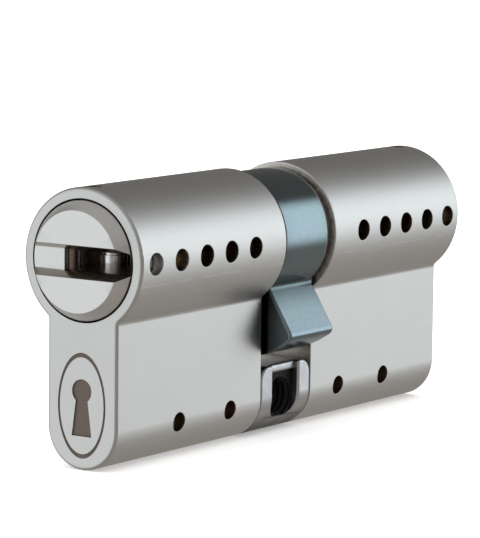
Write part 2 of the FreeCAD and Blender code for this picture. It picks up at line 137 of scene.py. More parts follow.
class CylinderSizes(PropertyGroup):
    """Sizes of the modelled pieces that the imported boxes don't give."""

    flag_fillet: length("Flag fillet", "Radius where the flag runs into the barrel", 0.8 * MM)
    face_round: length("Face rounding", "Rounding of each end face's outer edge", 0.42 * MM)
    gap_round: length("Gap rounding", "Rounding of the edges that face the cam", 0.15 * MM)
    rim_round: length("Rim rounding", "Softening of the rims of bores and drilled holes", 0.09 * MM)
    head_gap: length("Head gap", "Gap round the plug's head", 0.05 * MM)
    running_gap: length("Running gap", "Gap round turning and sliding pieces", 0.05 * MM)
    plug_step: length("Plug step", "How much smaller the plug's barrel is than its head", 0.65 * MM)
    head_depth: length("Head depth", "Length of the plug's head behind the end face", 3.95 * MM)
    nose_taper: length("Nose taper", "How far the nose's bevel runs in", 1.18 * MM)
    head_trim: length("Head trim", "How much smaller the finished head is than its box", 0.13 * MM)
    keyway_half: length("Keyway half height", "Half the height of the keyway", 1.25 * MM)
    slot_half: length("Slot half height", "Half the height of the slot at the nose's face", 1.9 * MM)
    keyway_left: FloatProperty(
        name="Keyway left", description="Left wall of the keyway", default=-2.6 * MM, precision=6,
        subtype="DISTANCE", unit="LENGTH",
    )
    keyway_right: length("Keyway right", "Right wall of the keyway behind the head", 4.6 * MM)
    keyway_head: length("Keyway head right", "Right wall of the keyway in the head", 6.6 * MM)
    mouth_depth: length("Mouth depth", "How far the keyway's mouth breaks out of the head's side", 1.2 * MM)
    ring_r: length("Cam ring radius", "Outer radius of the cam's ring", 7.9 * MM)
    ring_half: length("Cam ring half width", "Half the width of the cam's ring", 4.75 * MM)
    cam_bore: length("Cam bore", "Radius of the cam's bore", 6.6 * MM)
    clip_bore: length("Clip bore", "Radius of the recess for the circlips", 7.4 * MM)
    web_half: length("Web half width", "Half the width of the web inside the cam", 1.4 * MM)
    tip_r: length("Lever tip radius", "Distance of the lever's tip from the barrel's axis", 14.9 * MM)
    tip_half: length("Lever tip half height", "Half the height of the lever at its tip", 3.75 * MM)
    lever_fillet: length("Lever fillet", "Radius where the lever runs into the ring", 0.7 * MM)
    tip_round: length("Lever tip rounding", "Rounding of the lever's tip edges", 0.75 * MM)
    cam_round: length("Cam edge rounding", "Rounding of the cam's pressed edges", 0.38 * MM)
    bridge_round: length("Bridge edge rounding", "Rounding of the bridge's cast edges", 0.32 * MM)
    thread_depth: length("Thread depth", "Depth of the fixing screw's thread", 0.3 * MM)
    thread_pitch: length("Thread pitch", "Pitch of the fixing screw's thread", 0.8 * MM)
    barrel_steps: IntProperty(name="Barrel steps", description="Facets round the barrel", default=184, min=24)
    plug_steps: IntProperty(name="Plug steps", description="Facets round the plug", default=144, min=24)
    hole_steps: IntProperty(name="Hole steps", description="Facets round a drilled hole", default=40, min=12)


class CylinderFinishes(PropertyGroup):
    """Colours and roughness of the finishes."""

    nickel: colour("Satin nickel", "Plated brass of the two halves and the plugs", (0.80, 0.79, 0.775))
    nickel_rough: factor("Nickel roughness", "Roughness of the satin nickel", 0.43)
    # Darker than the plate: a milled, thinly plated tone with painted shade for the slot and keyway.
    milled_and_shade: colour("Milled flanks", "Thinly plated flanks of the slot and keyway", (0.42, 0.37, 0.33))
    sawn: colour("Sawn ends", "Bare ends of the halves that face the cam", (0.72, 0.66, 0.60))
    zinc: colour("Blue zinc", "Passivated zinc on the cam", (0.26, 0.355, 0.365))
    zinc_rough: factor("Zinc roughness", "Roughness of the zinc", 0.18)
    steel: colour("Bright steel", "Tumbled steel of the bridge", (0.74, 0.75, 0.78))
    steel_rough: factor("Steel roughness", "Roughness of the bridge", 0.36)
    black: colour("Black steel", "Phosphated steel of the screw insert", (0.012, 0.012, 0.014))
    brass: colour("Brass", "Turned brass of the pins", (0.72, 0.50, 0.24))
    # Very dark over a brass tone: painted shade inside the drilled holes, bores and chambers.
    bore: colour("Bored brass", "Bare brass inside the drilled holes", (0.16, 0.115, 0.085))
    groove: colour("Engraving", "Darkened floor of the engraved mark", (0.15, 0.12, 0.10))
    tempered: colour("Tempered steel", "Hardened rods, slugs and cross pins", (0.37, 0.30, 0.25))
    silver: colour("Nickel silver", "Polished key pins", (0.78, 0.78, 0.80))


class CylinderStage(PropertyGroup):
    """Floor, lights and camera."""

    floor: colour("Floor", "Pale floor", (0.93, 0.93, 0.93))
    top_light: FloatProperty(
        name="Overhead light", description="Strength of the light on the floor", default=3.0, min=0,
    )
    bright: FloatProperty(
        name="Softbox brightness", description="Brightness of the broad lights", default=1.6, min=0,
    )
    dim_high: colour("Dim ceiling", "Colour of the unlit upper room", (0.13, 0.12, 0.11))
    dim_front: colour("Dim front", "Colour of the room above the camera", (0.38, 0.37, 0.36))
    dim_low: colour("Dim ground", "Colour of the unlit lower room", (0.31, 0.285, 0.26))
    lens: FloatProperty(
        name="Lens", description="Focal length on a 36 mm sensor", default=223.3, min=1, unit="CAMERA",
    )
    camera_at: FloatVectorProperty(
        name="Camera place", description="Where the camera stands", size=3, default=(0.2306, -0.3384, 0.0685),
        precision=5, subtype="TRANSLATION", unit="LENGTH",
    )
    camera_turn: FloatVectorProperty(
        name="Camera turn", description="Which way the camera faces", size=3,
        default=(math.radians(82.630), math.radians(-0.660), math.radians(34.595)),
        subtype="EULER", unit="ROTATION",
    )


# ---- small helpers -------------------------------------------------------------------------


def sizes():
    """The sizes that the panel shows."""
    return bpy.context.scene.cylinder_sizes


def finishes():
    """The colours and roughness that the panel shows."""
    return bpy.context.scene.cylinder_finishes


def place(bm, name, *materials):
    """Turns a bmesh into an object at the origin."""
    mesh = bpy.data.meshes.new(name)
    bm.to_mesh(mesh)
    bm.free()
    piece = bpy.data.objects.new(name, mesh)
    bpy.context.scene.collection.objects.link(piece)
    for material in materials:
        mesh.materials.append(material)
    return piece


def bake(piece):
    """Applies a piece's modifiers to its mesh."""
    bpy.context.view_layer.update()
    depsgraph = bpy.context.evaluated_depsgraph_get()
    baked = bpy.data.meshes.new_from_object(piece.evaluated_get(depsgraph))
    old = piece.data
    piece.modifiers.clear()
    piece.data = baked
    bpy.data.meshes.remove(old)


def weld(piece):
    """Closes the hairline gaps that a cut leaves."""
    bm = bmesh.new()
    bm.from_mesh(piece.data)
    bmesh.ops.remove_doubles(bm, verts=bm.verts, dist=WELD)
    bmesh.ops.dissolve_degenerate(bm, dist=WELD, edges=bm.edges)
    bm.to_mesh(piece.data)
    bm.free()


def combine(piece, others, operation="DIFFERENCE"):
    """Cuts the other solids out of a piece, or joins them to it, and deletes them."""
    for other in others:
        modifier = piece.modifiers.new(other.name, "BOOLEAN")
        modifier.operation = operation
        modifier.solver = "EXACT"
        modifier.material_mode = "TRANSFER"
        modifier.object = other
    bake(piece)
    for other in others:
        bpy.data.objects.remove(other)
    weld(piece)
    if not piece.data.polygons:
        raise RuntimeError(f"{piece.name} came out empty")


def bevel(bm, edges, width, segments, clamp=False):
    """Rounds edges of a solid."""
    bmesh.ops.bevel(
        bm, geom=edges, offset=width, offset_type="OFFSET", segments=segments, profile=0.5,
        affect="EDGES", clamp_overlap=clamp, material=-1,
    )


def soften(piece, width, angle=35.0, segments=2, where=None, merge=0.004 * MM):
    """Rounds the sharp edges whose middle passes the test, or all of them."""
    bm = bmesh.new()
    bm.from_mesh(piece.data)
    bmesh.ops.remove_doubles(bm, verts=bm.verts, dist=merge)
    bmesh.ops.dissolve_degenerate(bm, dist=merge, edges=bm.edges)
    limit = math.radians(angle)
    edges = []
    for edge in bm.edges:
        if len(edge.link_faces) != 2 or edge.calc_face_angle(0) < limit:
            continue
        middle = (edge.verts[0].co + edge.verts[1].co) / 2
        if where is None or where(middle):
            edges.append(edge)
    bevel(bm, edges, width, segments)
    bm.to_mesh(piece.data)
    bm.free()


def shade(piece, angle=38.0):
    """Smooth shading that keeps flats flat."""
    mesh = piece.data
    for polygon in mesh.polygons:
        polygon.use_smooth = True
    mesh.set_sharp_from_angle(angle=math.radians(angle))
    modifier = piece.modifiers.new("Flat faces", "WEIGHTED_NORMAL")
    modifier.keep_sharp = True
    modifier.weight = 100
    return piece


def round_normals(piece, height, radius):
    """Points the normals of the faces on a cylinder along Y straight out, so that holes leave no seams."""
    mesh = piece.data
    centre = Vector((0, 0, height))
    normals = [normal.vector.copy() for normal in mesh.corner_normals]
    for polygon in mesh.polygons:
        outward = [mesh.vertices[index].co - centre for index in polygon.vertices]
        distances = [math.hypot(arm.x, arm.z) for arm in outward]
        middle = polygon.center - centre
        middle.y = 0
        off_round = max(abs(distance - radius) for distance in distances) > 0.05 * MM
        tilted = polygon.normal.dot(middle.normalized()) < 0.995
        if off_round or tilted:
            continue
        for corner, arm in zip(polygon.loop_indices, outward):
            normals[corner] = Vector((arm.x, 0, arm.z)).normalized()
    mesh.normals_split_custom_set(normals)


def stand_for(piece, node, rounds=()):
    """Shades a piece, makes it ride with a node's body and hides the node.

    rounds gives the height and radius of each cylinder on it that holes are drilled through.
    """
    shade(piece)
    if rounds:
        bake(piece)
    for height, radius in rounds:
        round_normals(piece, height, radius)
    body = next(name for name, nodes in frame["record"]["behaviour"]["bodies"].items() if node in nodes)
    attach(piece, body)
    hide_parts(node)
    return piece


def mirror_half(bm):
    """Turns an outer piece into its inner copy."""
    bmesh.ops.scale(bm, vec=(1, -1, 1), verts=bm.verts)
    bmesh.ops.reverse_faces(bm, faces=bm.faces)


def mirror_piece(piece):
    """Turns a finished outer piece into its inner copy."""
    bm = bmesh.new()
    bm.from_mesh(piece.data)
    mirror_half(bm)
    bm.to_mesh(piece.data)
    bm.free()


def drum(axis, radius, start, end, centre, steps, end_radius=None):
    """A closed round bar or cone along X, Y or Z from start to end. centre gives the other two places."""
    bm = bmesh.new()
    bmesh.ops.create_cone(
        bm, cap_ends=True, segments=steps, radius1=radius,
        radius2=radius if end_radius is None else end_radius, depth=end - start,
    )
    middle = (start + end) / 2
    turn, spot = {
        "X": (Matrix.Rotation(math.pi / 2, 4, "Y"), (middle, *centre)),
        "Y": (Matrix.Rotation(-math.pi / 2, 4, "X"), (centre[0], middle, centre[1])),
        "Z": (Matrix(), (*centre, middle)),
    }[axis]
    bmesh.ops.transform(bm, matrix=Matrix.Translation(spot) @ turn, verts=bm.verts)
    return bm


def slab(low, high):
    """A closed block between two corners."""
    bm = bmesh.new()
    bmesh.ops.create_cube(bm, size=1)
    low, high = Vector(low), Vector(high)
    bmesh.ops.scale(bm, vec=high - low, verts=bm.verts)
    bmesh.ops.translate(bm, vec=(low + high) / 2, verts=bm.verts)
    return bm


def turned(points, axis, centre, steps):
    """A solid turned about an axis through centre, from (radius, along) points that start and end on it."""
    bm = bmesh.new()
    side = Vector((1, 0, 0))
    chain = [bm.verts.new(centre + side * radius + axis * along) for radius, along in points]
    for first, second in zip(chain, chain[1:]):
        bm.edges.new((first, second))
    bmesh.ops.spin(
        bm, geom=bm.verts[:] + bm.edges[:], cent=centre, axis=axis, angle=math.tau, steps=steps,
        use_merge=True,
    )
    bmesh.ops.remove_doubles(bm, verts=bm.verts, dist=0.0005 * MM)
    bmesh.ops.recalc_face_normals(bm, faces=bm.faces)
    return bm


def sweep_arc(bm, start, centre, angle, steps):
    """Carries an outline's last vertex round an arc in the XZ plane."""
    made = bmesh.ops.spin(bm, geom=[start], cent=centre, axis=(0, 1, 0), angle=angle, steps=steps)
    return next(item for item in made["geom_last"] if isinstance(item, bmesh.types.BMVert))


def draw_line(bm, start, end):
    """Carries an outline's last vertex along a straight line."""
    made = bmesh.ops.extrude_vert_indiv(bm, verts=[start])
    made["verts"][0].co = end
    return made["verts"][0]


def fill_and_push(bm, depth):
    """Closes an outline, fills it and pushes it along Y into a solid."""
    bmesh.ops.remove_doubles(bm, verts=bm.verts, dist=WELD)
    made = bmesh.ops.contextual_create(bm, geom=bm.edges[:])
    pushed = bmesh.ops.extrude_face_region(bm, geom=made["faces"])
    verts = [item for item in pushed["geom"] if isinstance(item, bmesh.types.BMVert)]
    bmesh.ops.translate(bm, vec=(0, depth, 0), verts=verts)
    bmesh.ops.recalc_face_normals(bm, faces=bm.faces)


def round_rim(bm, y, width, segments):
    """Rounds the edges of the end face at one place along the barrel."""
    rim = [edge for edge in bm.edges if all(abs(vert.co.y - y) < WELD for vert in edge.verts)]
    bevel(bm, rim, width, segments)


# ---- finishes ------------------------------------------------------------------------------


class Recipe:
    """A node material under construction."""

    def __init__(self, name):
        self.material = bpy.data.materials.new(name)
        self.material.use_nodes = True
        self.tree = self.material.node_tree
        self.shader = self.tree.nodes["Principled BSDF"]
        self.where = self.tree.nodes.new("ShaderNodeTexCoord").outputs["Object"]

    def link(self, start, end):
        """Joins an output to an input."""
        self.tree.links.new(start, end)

    def node(self, kind, **inputs):
        """Adds a node and sets or links its inputs by name."""
        made = self.tree.nodes.new(kind)
        for name, value in inputs.items():
            socket = made.inputs[name.replace("_", " ")]
            if isinstance(value, bpy.types.NodeSocket):
                self.link(value, socket)
            else:
                socket.default_value = value
        return made

    def stretched(self, scale, source=None):
        """Object coordinates multiplied along each axis, per metre."""
        mapping = self.node("ShaderNodeMapping", Scale=scale)
        self.link(source or self.where, mapping.inputs["Vector"])
        return mapping.outputs["Vector"]

    def noise(self, scale, detail=3.0, rough=0.5):
        """Noise from 0 to 1, with scale cells in a metre along each axis."""
        made = self.node("ShaderNodeTexNoise", Scale=1.0, Detail=detail, Roughness=rough)
        self.link(self.stretched(scale), made.inputs["Vector"])
        return made.outputs["Fac"]

    def spread(self, value, low, high, to_low, to_high):
        """Maps a value from one range to another."""
        made = self.node("ShaderNodeMapRange", Value=value)
        made.inputs["From Min"].default_value = low
        made.inputs["From Max"].default_value = high
        made.inputs["To Min"].default_value = to_low
        made.inputs["To Max"].default_value = to_high
        return made.outputs["Result"]

    def maths(self, operation, first, second=0.0):
        """One sum of two values."""
        made = self.tree.nodes.new("ShaderNodeMath")
        made.operation = operation
        for socket, value in zip(made.inputs, (first, second)):
            if isinstance(value, bpy.types.NodeSocket):
                self.link(value, socket)
            else:
                socket.default_value = value
        return made.outputs[0]

    def blend(self, amount, first, second):
        """Mixes two colours."""
        made = self.tree.nodes.new("ShaderNodeMix")
        made.data_type = "RGBA"
        for socket, value in ((made.inputs[0], amount), (made.inputs[6], first), (made.inputs[7], second)):
            if isinstance(value, bpy.types.NodeSocket):
                self.link(value, socket)
            elif socket.type == "RGBA":
                socket.default_value = (*value, 1)
            else:
                socket.default_value = value
        return made.outputs[2]

    def relief(self, height, depth, strength=1.0):
        """Bumps the surface by a height in metres."""
        bump = self.node("ShaderNodeBump", Height=height, Distance=depth, Strength=strength)
        if self.shader.inputs["Normal"].is_linked:
            self.link(self.shader.inputs["Normal"].links[0].from_socket, bump.inputs["Normal"])
        self.link(bump.outputs["Normal"], self.shader.inputs["Normal"])

    def painted_gap_shade(self, tint, reach, power=1.0):
        """Darkens a colour inside gaps narrower than reach: painted shade."""
        shelter = self.node("ShaderNodeAmbientOcclusion", Distance=reach)
        shelter.samples = 8
        amount = self.maths("POWER", shelter.outputs["AO"], power)
        return self.blend(amount, (0, 0, 0), tint)

    def metal(self, metallic=1.0, anisotropic=0.0):
        """Sets the shader to a metal."""
        self.shader.inputs["Metallic"].default_value = metallic
        self.shader.inputs["Anisotropic"].default_value = anisotropic

    def brushed(self, along):
        """Spreads the gloss across a brushing direction."""
        facing = self.tree.nodes.new("ShaderNodeNewGeometry").outputs["Normal"]
        across = self.node("ShaderNodeVectorMath", Vector=facing)
        across.operation = "CROSS_PRODUCT"
        across.inputs[1].default_value = along
        nudged = self.node("ShaderNodeVectorMath", Vector=across.outputs["Vector"])
        nudged.operation = "ADD"
        nudged.inputs[1].default_value = (0, 0, 0.02)
        self.link(nudged.outputs["Vector"], self.shader.inputs["Tangent"])

    def finish(self, tint, roughness):
        """Links the colour and roughness, and gives the material."""
        self.link(tint, self.shader.inputs["Base Color"])
        self.link(roughness, self.shader.inputs["Roughness"])
        return self.material


def shaded(tint, amount):
    """A colour made lighter or darker."""
    return tuple(min(1.0, channel * amount) for channel in tint)


def satin_nickel(name):
    """Nickel plate over brass, finely brushed along the barrel, with a burnished line and light scratches."""
    look = finishes()
    recipe = Recipe(name)
    recipe.metal(anisotropic=0.6)
    recipe.brushed((0, 1, 0))
    brushed = recipe.noise((9000, 260, 9000), 4.0, 0.6)
    cloudy = recipe.noise((260, 180, 260), 3.0)
    scratch = recipe.spread(recipe.noise((4200, 160, 4200), 1.0, 0.3), 0.70, 0.72, 0.0, 1.0)
    split = recipe.node("ShaderNodeSeparateXYZ", Vector=recipe.where)
    line_z = AXIS_Z - 2.5 * MM
    from_line = recipe.maths("ABSOLUTE", recipe.maths("SUBTRACT", split.outputs["Z"], line_z))
    thin = recipe.spread(from_line, 0.02 * MM, 0.07 * MM, 1.0, 0.0)
    outward = recipe.maths("GREATER_THAN", split.outputs["X"], 7 * MM)
    broken = recipe.spread(recipe.noise((300, 420, 300), 2.0), 0.42, 0.55, 0.0, 1.0)
    line = recipe.maths("MULTIPLY", recipe.maths("MULTIPLY", thin, outward), broken)
    marks = recipe.maths("MAXIMUM", recipe.maths("MULTIPLY", scratch, 0.2), line)
    clouds = recipe.spread(cloudy, 0.3, 0.7, 0.0, 1.0)
    tint = recipe.blend(clouds, shaded(look.nickel, 0.895), shaded(look.nickel, 0.915))
    tint = recipe.blend(recipe.spread(brushed, 0.3, 0.7, 0.0, 0.25), tint, shaded(look.nickel, 0.86))
    tint = recipe.blend(marks, tint, shaded(look.nickel, 1.12))
    rough = recipe.spread(brushed, 0.25, 0.75, look.nickel_rough - 0.015, look.nickel_rough + 0.02)
    rough = recipe.maths("ADD", rough, recipe.maths("MULTIPLY", marks, 0.1))
    recipe.relief(brushed, 0.0012 * MM, 0.4)
    recipe.relief(marks, -0.004 * MM, 0.6)
    return recipe.finish(tint, rough)


def turned_nickel(name):
    """Nickel plate over a faced and turned plug: fine rings about the barrel's axis."""
    look = finishes()
    recipe = Recipe(name)
    recipe.metal()
    centred = recipe.node("ShaderNodeVectorMath", Vector=recipe.where)
    centred.operation = "SUBTRACT"
    centred.inputs[1].default_value = (0, 0, AXIS_Z)
    flattened = recipe.node("ShaderNodeVectorMath", Vector=centred.outputs["Vector"])
    flattened.operation = "MULTIPLY"
    flattened.inputs[1].default_value = (1, 0, 1)
    distance = recipe.node("ShaderNodeVectorMath", Vector=flattened.outputs["Vector"])
    distance.operation = "LENGTH"
    ring = recipe.node("ShaderNodeCombineXYZ", X=recipe.maths("MULTIPLY", distance.outputs["Value"], 9000))
    rings = recipe.node("ShaderNodeTexNoise", Vector=ring.outputs["Vector"], Scale=1.0, Detail=3.0)
    cloudy = recipe.noise((900, 900, 420), 4.0, 0.6)
    clouds = recipe.spread(cloudy, 0.3, 0.7, 0.0, 1.0)
    tint = recipe.blend(clouds, shaded(look.nickel, 1.01), shaded(look.nickel, 1.08))
    grain = recipe.spread(rings.outputs["Fac"], 0.3, 0.7, -0.02, 0.03)
    rough = recipe.spread(cloudy, 0.3, 0.7, look.nickel_rough - 0.03, look.nickel_rough + 0.05)
    rough = recipe.maths("ADD", rough, grain)
    recipe.relief(rings.outputs["Fac"], 0.0012 * MM, 0.4)
    return recipe.finish(tint, rough)


def blue_zinc(name):
    """Passivated zinc: a cool grey with teal and violet clouds and a fine crystalline grain."""
    look = finishes()
    recipe = Recipe(name)
    recipe.metal()
    clouds = recipe.noise((420, 420, 420), 4.0, 0.6)
    grain = recipe.noise((6000, 6000, 6000), 3.0, 0.6)
    violet = (look.zinc[0] * 1.05, look.zinc[1] * 0.93, look.zinc[2] * 1.08)
    tint = recipe.blend(recipe.spread(clouds, 0.35, 0.65, 0.0, 1.0), tuple(look.zinc), violet)
    tint = recipe.blend(recipe.spread(grain, 0.35, 0.65, 0.0, 0.45), tint, shaded(look.zinc, 0.78))
    rough = recipe.spread(grain, 0.3, 0.7, look.zinc_rough - 0.05, look.zinc_rough + 0.08)
    recipe.relief(grain, 0.0015 * MM, 0.4)
    # Painted shade: the zinc is darkened inside narrow gaps, such as beside the halves.
    return recipe.finish(recipe.painted_gap_shade(tint, 4 * MM, 3.5), rough)


def bright_steel(name):
    """Tumbled cast steel: bright, a little wavy, with fine pits."""
    look = finishes()
    recipe = Recipe(name)
    recipe.metal()
    waves = recipe.noise((520, 520, 520), 2.0)
    pits = recipe.spread(recipe.noise((3800, 3800, 3800), 2.0), 0.62, 0.72, 0.0, 1.0)
    tint = recipe.blend(recipe.spread(waves, 0.3, 0.7, 0.0, 1.0), tuple(look.steel), shaded(look.steel, 0.88))
    rough = recipe.spread(waves, 0.3, 0.7, look.steel_rough - 0.04, look.steel_rough + 0.08)
    recipe.relief(waves, 0.05 * MM, 0.35)
    recipe.relief(pits, -0.008 * MM, 0.5)
    # Painted shade: the steel is darkened inside the window and other narrow gaps.
    return recipe.finish(recipe.painted_gap_shade(tint, 3 * MM, 1.2), rough)


def plain_metal(name, tint, roughness, stretch, depth, spread=0.12, metallic=1.0):
    """A metal with tool marks stretched along one axis."""
    recipe = Recipe(name)
    recipe.metal(metallic)
    marks = recipe.noise(stretch, 3.0, 0.6)
    streaks = recipe.spread(marks, 0.3, 0.7, 0.0, 1.0)
    colours = recipe.blend(streaks, shaded(tint, 1 - spread), shaded(tint, 1 + spread))
    rough = recipe.spread(marks, 0.3, 0.7, max(roughness - 0.06, 0.03), roughness + 0.08)
    recipe.relief(marks, depth, 0.5)
    return recipe.finish(colours, rough)


FINISHES = {}


def finish(name):
    """One material for each finish, made when it is first asked for."""
    if name in FINISHES:
        return FINISHES[name]
    look = finishes()
    fine, drilled = (5000, 5000, 5000), (1200, 5000, 5000)
    long_z, long_y = (4000, 4000, 500), (4000, 500, 4000)
    made = {
        "satin_nickel": lambda: satin_nickel(name),
        "turned_nickel": lambda: turned_nickel(name),
        "blue_zinc": lambda: blue_zinc(name),
        "bright_steel": lambda: bright_steel(name),
        # Darker than the plate: a milled tone with painted shade for the slot and keyway.
        "milled_nickel_and_shade": lambda: plain_metal(name, look.milled_and_shade, 0.3, (900, 6000, 6000), 0.003 * MM, 0.15),
        # Lighter wall for the first side hole: a plated tone with painted light.
        "plated_bore_painted_light": lambda: plain_metal(name, shaded(look.nickel, 0.7), 0.36, drilled, 0.003 * MM, 0.1),
        "sawn_brass": lambda: plain_metal(name, look.sawn, 0.42, (1500, 1500, 1500), 0.004 * MM, 0.2),
        # Brighter brass for the second side hole: a painted glint.
        "bore_painted_glint": lambda: plain_metal(name, shaded(look.sawn, 0.66), 0.35, drilled, 0.004 * MM, 0.2),
        # Very dark brass: painted shade inside bores, holes and chambers.
        "bored_brass_in_shade": lambda: plain_metal(name, look.bore, 0.38, drilled, 0.01 * MM, 0.25),
        "engraving": lambda: plain_metal(name, look.groove, 0.55, fine, 0.01 * MM, 0.3, 0.6),
        "black_steel": lambda: plain_metal(name, look.black, 0.5, fine, 0.006 * MM, 0.3, 0.7),
        "tempered_steel": lambda: plain_metal(name, look.tempered, 0.3, (900, 900, 7000), 0.01 * MM, 0.25),
        # Darkened tempered steel: painted shade on the head pin at the bottom of its hole.
        "tempered_steel_in_shade": lambda: plain_metal(name, shaded(look.tempered, 0.25), 0.4, fine, 0.01 * MM, 0.25),
        # Lighter edge finish: edge wear and a painted highlight on the cam's rim.
        "worn_edge_and_highlight": lambda: plain_metal(name, look.nickel, 0.5, fine, 0.002 * MM, 0.1),
        "nickel_silver": lambda: plain_metal(name, look.silver, 0.1, (800, 800, 6000), 0.004 * MM, 0.08),
        "turned_brass": lambda: plain_metal(name, look.brass, 0.24, (900, 900, 6000), 0.006 * MM, 0.1),
        "spring_steel": lambda: plain_metal(name, look.silver, 0.22, long_z, 0.004 * MM, 0.1),
        "sintered_steel": lambda: plain_metal(name, shaded(look.silver, 0.6), 0.46, fine, 0.012 * MM, 0.2),
        "drawn_steel": lambda: plain_metal(name, shaded(look.silver, 0.8), 0.25, long_y, 0.005 * MM, 0.12),
    }[name]()
    FINISHES[name] = made
    return made


# ---- housing halves ------------------------------------------------------------------------


def profile_solid(start, end):
    """The euro profile, barrel over flag, pushed along Y from start to end."""
    size = sizes()
    fillet = size.flag_fillet
    centre_x = FLAG_HALF + fillet
    drop = math.sqrt((BARREL_R + fillet) ** 2 - centre_x ** 2)
    lean = math.atan2(centre_x, drop)
    on_barrel = Vector((BARREL_R * math.sin(lean), start, AXIS_Z - BARREL_R * math.cos(lean)))
    bm = bmesh.new()
    point = bm.verts.new(on_barrel)
    around = math.tau - 2 * lean
    point = sweep_arc(bm, point, AXIS, -around, size.barrel_steps)
    left = Vector((-centre_x, start, AXIS_Z - drop))
    point = sweep_arc(bm, point, left, math.pi / 2 - lean, 8)
    point = draw_line(bm, point, Vector((-FLAG_HALF, start, FOOT_Z)))
    point = sweep_arc(bm, point, Vector((0, start, FOOT_Z)), -math.pi, 40)
    point = draw_line(bm, point, Vector((FLAG_HALF, start, AXIS_Z - drop)))
    right = Vector((centre_x, start, AXIS_Z - drop))
    sweep_arc(bm, point, right, math.pi / 2 - lean, 8)
    fill_and_push(bm, end - start)
    return bm


def mark_cutters():
    """A plain keyhole inside an oval line, for the end face."""
    engraving = finish("engraving")
    centre = Vector((0, FACE_Y, FOOT_Z + 2.6 * MM))
    line_r, oval_half, oval_stretch = 0.15 * MM, 3.3 * MM, 1.8
    depth = 0.2 * MM
    eye_r, eye_rise = 1.4 * MM, 1.7 * MM
    neck_half, foot_flare, foot_drop, neck_rise = 0.75 * MM, 1.9, 3.6 * MM, 1.4 * MM
    oval = bmesh.new()
    bmesh.ops.create_circle(oval, cap_ends=False, segments=10, radius=line_r)
    bmesh.ops.translate(oval, vec=(oval_half, 0, 0), verts=oval.verts)
    bmesh.ops.spin(
        oval, geom=oval.verts[:] + oval.edges[:], cent=(0, 0, 0), axis=(0, 1, 0), angle=math.tau, steps=96,
        use_merge=True,
    )
    stretch = Matrix.Translation(centre) @ Matrix.Diagonal((1, 1, oval_stretch, 1))
    bmesh.ops.transform(oval, matrix=stretch, verts=oval.verts)
    bmesh.ops.recalc_face_normals(oval, faces=oval.faces)
    eye = drum("Y", eye_r, FACE_Y - OVERCUT, FACE_Y + depth, (0, centre.z + eye_rise), 56)
    skirt = slab(
        (-neck_half, FACE_Y - OVERCUT, centre.z - foot_drop),
        (neck_half, FACE_Y + depth, centre.z + neck_rise),
    )
    for vert in skirt.verts:
        if vert.co.z < centre.z:
            vert.co.x *= foot_flare
    return [place(solid, "cut", engraving) for solid in (oval, eye, skirt)]


def body_half(side):
    """One half of the housing, with its bores, pin chambers and pockets."""
    size = sizes()
    # Bores, holes, chambers and pockets are cut with the very dark bore finish, painted shade.
    nickel, bore_shade = finish("satin_nickel"), finish("bored_brass_in_shade")
    solid = profile_solid(FACE_Y, GAP_Y)
    round_rim(solid, FACE_Y, size.face_round, 3)
    round_rim(solid, GAP_Y, size.gap_round, 2)
    body = place(solid, f"{side}_body_half", nickel)

    bore_r = HEAD_R + size.head_gap
    plug_r = HEAD_R - size.plug_step
    shoulder = FACE_Y + size.head_depth + size.running_gap
    outside = BARREL_R + OVERCUT
    for radius, start, end in (
        (bore_r, FACE_Y - OVERCUT, shoulder),
        (plug_r + size.running_gap, FACE_Y, GAP_Y + OVERCUT),
    ):
        combine(body, [place(drum("Y", radius, start, end, (0, AXIS_Z), size.plug_steps), "cut", bore_shade)])
    soften(body, size.rim_round, where=lambda at: at.y < FACE_Y + NEAR and at.z > AXIS_Z - bore_r - OVERCUT)

    # Painted light and shade in the side holes: on the outer half the first hole's wall gets a lighter plated
    # tone as painted light and the second a brighter brass as a painted glint; the other holes, and every
    # hole of the inner half, get the very dark bore finish as painted shade.
    painted_hole_walls = ["plated_bore_painted_light", "bore_painted_glint"] if side == "outer" else []
    for y, wall in zip(SIDE_PLACES, painted_hole_walls + ["bored_brass_in_shade"] * 5):
        hole = drum("X", SIDE_HOLE_R, 0, outside, (y, AXIS_Z), size.hole_steps)
        combine(body, [place(hole, "cut", finish(wall))])
    cuts = [
        drum("X", CROSS_R, -outside, outside, (y, CROSS_Z), size.hole_steps) for y in (CROSS_FAR, CROSS_NEAR)
    ]
    head_pin_r = HEAD_PIN_HIGH[0] + PRESS_GAP
    cuts.append(drum("Z", head_pin_r, AXIS_Z, AXIS_Z + outside, (0, ROD_Y), size.hole_steps))
    combine(body, [place(cut, "cut", bore_shade) for cut in cuts])
    clear = 0.5 * MM
    rim = size.rim_round * 0.9
    soften(body, rim, where=lambda at: FACE_Y + clear < at.y < GAP_Y - clear and on_skin(at))

    pocket_half, pocket_rise = 2.25 * MM, 2.65 * MM
    bar_top = CROSS_Z + pocket_rise
    pocket = slab(
        (-pocket_half, BRIDGE_LOW[1] - 0.05 * MM, CROSS_Z - pocket_half),
        (pocket_half, GAP_Y + OVERCUT, bar_top),
    )
    chamber_r, floor, top = PIN_R + size.running_gap, bar_top - 0.1 * MM, AXIS_Z - OVERCUT
    chambers = [drum("Z", chamber_r, floor, top, (0, y), 32) for y in PIN_PLACES]
    combine(body, [place(cut, "cut", bore_shade) for cut in [pocket, *chambers]])
    sawn = len(body.data.materials)
    body.data.materials.append(finish("sawn_brass"))
    for polygon in body.data.polygons:
        if polygon.normal.y > 0.95 and polygon.center.y > GAP_Y - NEAR:
            polygon.material_index = sawn
    if side == "outer":
        combine(body, mark_cutters())
    else:
        mirror_piece(body)
    rounds = ((AXIS_Z, BARREL_R), (FOOT_Z, FLAG_HALF))
    return stand_for(body, f"{side}_body", rounds)


